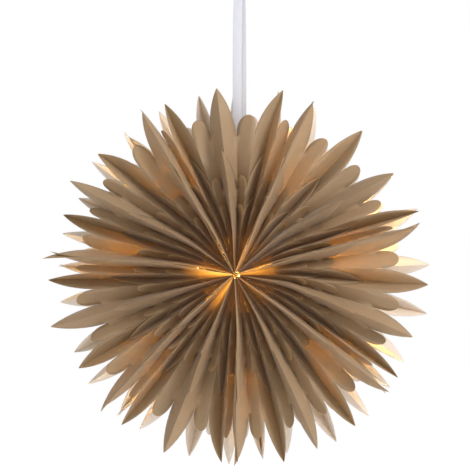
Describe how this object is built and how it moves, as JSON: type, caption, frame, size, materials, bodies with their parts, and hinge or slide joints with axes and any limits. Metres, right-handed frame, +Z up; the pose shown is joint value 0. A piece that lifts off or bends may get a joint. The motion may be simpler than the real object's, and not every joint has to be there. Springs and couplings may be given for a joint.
{
  "type": "paper snowflake star lantern",
  "caption": "Round pleated paper star with front and rear halves of nested leaf-shaped petals, lit from inside and hung on a satin ribbon.",
  "frame": {"origin": "top of the ribbon loop, where it goes over a hook", "axes": "+Z up, the star hangs along -Z and its front faces -Y, +X to the right seen from the front"},
  "size_m": [0.5996, 0.1818, 0.755],
  "materials": {
    "pleated_paper": "matt taupe paper, white on its inner face",
    "strip_paper": "plain white paper",
    "thread": "waxed thread",
    "bar_wood": "plain round dowel",
    "satin_ribbon": "silver white satin",
    "lamp_wire": "lacquered copper",
    "lamp_resin": "clear resin drop, lit",
    "shelf_card": "grey board",
    "case_plastic": "moulded white plastic",
    "cell_sleeve": "plain dark sleeve",
    "contact_steel": "nickel plated",
    "switch_plastic": "black slider"
  },
  "bodies": {
    "ribbon": {"ribbon_loop": "satin_ribbon"},
    "star": {"front_outer_pleat_1": "pleated_paper", "front_outer_pleat_2": "pleated_paper", "front_outer_pleat_3": "pleated_paper", "front_outer_pleat_4": "pleated_paper", "front_outer_pleat_5": "pleated_paper", "front_outer_pleat_6": "pleated_paper", "front_outer_pleat_7": "pleated_paper", "front_middle_pleat_1": "pleated_paper", "front_middle_pleat_2": "pleated_paper", "front_middle_pleat_3": "pleated_paper", "front_middle_pleat_4": "pleated_paper", "front_middle_pleat_5": "pleated_paper", "front_middle_pleat_6": "pleated_paper", "front_middle_pleat_7": "pleated_paper", "front_inner_pleat_1": "pleated_paper", "front_inner_pleat_2": "pleated_paper", "front_inner_pleat_3": "pleated_paper", "front_inner_pleat_4": "pleated_paper", "front_inner_pleat_5": "pleated_paper", "front_inner_pleat_6": "pleated_paper", "front_inner_pleat_7": "pleated_paper", "rear_outer_pleat_1": "pleated_paper", "rear_outer_pleat_2": "pleated_paper", "rear_outer_pleat_3": "pleated_paper", "rear_outer_pleat_4": "pleated_paper", "rear_outer_pleat_5": "pleated_paper", "rear_outer_pleat_6": "pleated_paper", "rear_outer_pleat_7": "pleated_paper", "rear_middle_pleat_1": "pleated_paper", "rear_middle_pleat_2": "pleated_paper", "rear_middle_pleat_3": "pleated_paper", "rear_middle_pleat_4": "pleated_paper", "rear_middle_pleat_5": "pleated_paper", "rear_middle_pleat_6": "pleated_paper", "rear_middle_pleat_7": "pleated_paper", "rear_inner_pleat_1": "pleated_paper", "rear_inner_pleat_2": "pleated_paper", "rear_inner_pleat_3": "pleated_paper", "rear_inner_pleat_4": "pleated_paper", "rear_inner_pleat_5": "pleated_paper", "rear_inner_pleat_6": "pleated_paper", "rear_inner_pleat_7": "pleated_paper", "front_centre_thread": "thread", "rear_centre_thread": "thread", "joining_strips": "strip_paper", "hanging_bar": "bar_wood", "led_wire": "lamp_wire", "led_lamps": "lamp_resin", "battery_shelf": "shelf_card", "battery_case": "case_plastic", "battery_cells": "cell_sleeve", "battery_contacts": "contact_steel"},
    "lid": {"battery_lid": "case_plastic"},
    "switch": {"switch_slider": "switch_plastic"}
  },
  "joints": [
    {"name": "star_swing", "type": "hinge", "parent": "ribbon", "child": "star", "pos_m": [0, 0, -0.275], "axis": [1, 0, 0], "range_deg": [-6, 6]},
    {"name": "lid_slide", "type": "slide", "parent": "star", "child": "lid", "axis": [0, 0, -1], "range_m": [0, 0.015]},
    {"name": "switch_slide", "type": "slide", "parent": "star", "child": "switch", "axis": [1, 0, 0], "range_m": [0, 0.003]}
  ]
}
